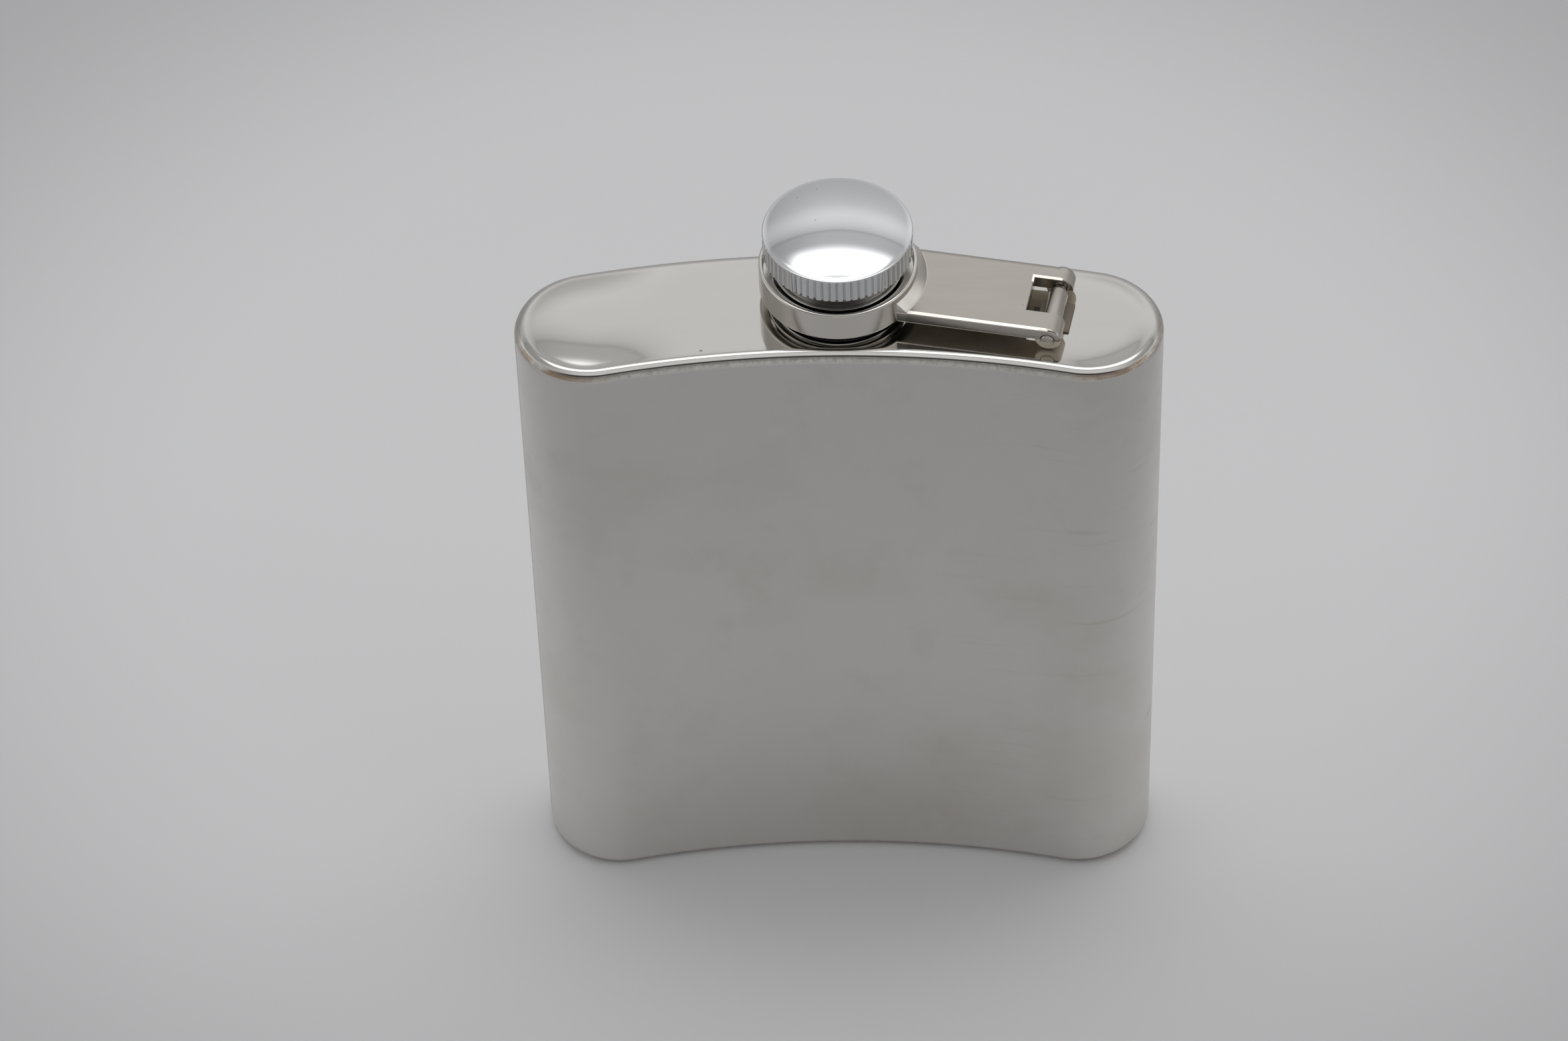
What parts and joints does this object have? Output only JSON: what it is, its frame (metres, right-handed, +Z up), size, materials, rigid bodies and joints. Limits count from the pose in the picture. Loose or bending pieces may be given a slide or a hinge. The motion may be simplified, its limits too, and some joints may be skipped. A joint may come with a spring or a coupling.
{
  "type": "hip flask",
  "caption": "Curved steel pocket flask for spirits. A domed screw cap stays on a hinged arm, so it lifts off the neck and swings aside.",
  "frame": {"origin": "on the resting face, under the middle of the body's thickness at the middle of its width", "axes": "+X along the width towards the hinge, +Y from the hollow front to the round back, +Z up through the cap"},
  "size_m": [0.093, 0.0281, 0.1225],
  "materials": {
    "satin_body": "satin, with a vertical grain and faint stains",
    "polished_panel": "mirror polished",
    "weld": "ground and polished, with brown heat tint",
    "arm_steel": "polished, warm grey",
    "cap_chrome": "bright chrome",
    "liner_plastic": "moulded, satin",
    "gasket_rubber": "silicone"
  },
  "bodies": {
    "flask_body": {"body_wall": "satin_body", "side_seam": "weld", "bottom_seam": "weld", "bottom_panel": "satin_body", "top_seam": "weld", "top_panel": "polished_panel", "neck_spout": "polished_panel", "neck_flange": "satin_body", "hinge_knuckle": "arm_steel", "hinge_pin": "arm_steel"},
    "arm": {"captive_arm": "arm_steel"},
    "cap_carrier": {"retaining_ring": "arm_steel"},
    "cap": {"cap_shell": "cap_chrome", "cap_liner": "liner_plastic", "gasket": "gasket_rubber"}
  },
  "joints": [
    {"name": "arm_swing", "type": "hinge", "parent": "flask_body", "child": "arm", "pos_m": [0.03084, -0.00412, 0.1098], "axis": [0.1874, 0.9823, 0], "range_deg": [0, 178]},
    {"name": "cap_lift", "type": "slide", "parent": "arm", "child": "cap_carrier", "axis": [0, 0, 1], "range_m": [0, 0.0029]},
    {"name": "cap_turn", "type": "hinge", "parent": "cap_carrier", "child": "cap", "pos_m": [0, 0.00176, 0.1077], "axis": [0, 0, 1], "range_deg": [0, 720]}
  ],
  "couplings": [
    {"joint": "cap_lift", "follows": "cap_turn", "m_per_rad": 0.00022282}
  ]
}
